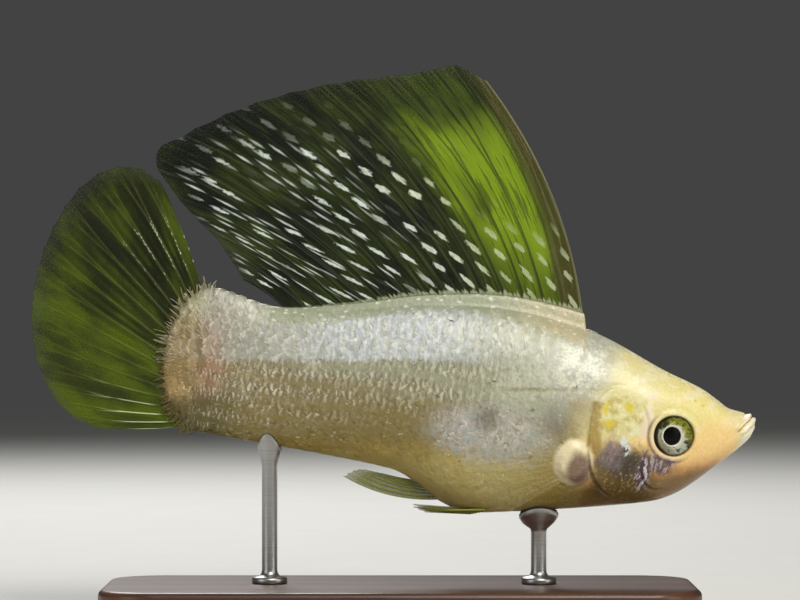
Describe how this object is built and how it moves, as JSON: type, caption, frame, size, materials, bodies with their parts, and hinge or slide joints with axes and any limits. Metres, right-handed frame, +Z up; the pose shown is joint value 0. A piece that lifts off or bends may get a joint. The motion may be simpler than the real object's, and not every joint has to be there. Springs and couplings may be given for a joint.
{
  "type": "sailfin molly",
  "caption": "Life-size male sailfin molly with its tall dorsal fin raised, held nose slightly down over a flat display base by short rods.",
  "frame": {"origin": "centre of the stand's base on its underside, where it rests on a table", "axes": "+X towards the fish's snout, +Z up, so the fish's right side faces -Y"},
  "size_m": [0.1037, 0.036, 0.0785],
  "materials": {
    "silver_skin": "silvery scaled skin with a soft gloss",
    "gold_skin": "pale gold skin of the head with a soft gloss",
    "gill_cover": "gold and dusky gill cover",
    "eye": "wet gloss, pale gold iris round a black pupil",
    "sail": "smoky, see-through membrane with white dashes",
    "tail_fin": "olive, see-through membrane",
    "clear_fin": "nearly clear membrane",
    "dark_wood": "dark stained and satin varnished",
    "steel": "satin"
  },
  "bodies": {
    "root": {"head": "gold_skin", "lower_jaw": "gold_skin", "gill_cover_right": "gill_cover", "gill_cover_left": "gill_cover", "eye_right": "eye", "eye_left": "eye", "trunk": "silver_skin", "tail_stalk": "silver_skin", "dorsal_fin": "sail", "caudal_fin": "tail_fin", "anal_fin": "clear_fin", "pectoral_fin_right": "clear_fin", "pectoral_fin_left": "clear_fin", "pelvic_fin_right": "clear_fin", "pelvic_fin_left": "clear_fin", "stand_base": "dark_wood", "stand_rod_front": "steel", "stand_rod_rear": "steel"}
  },
  "joints": []
}
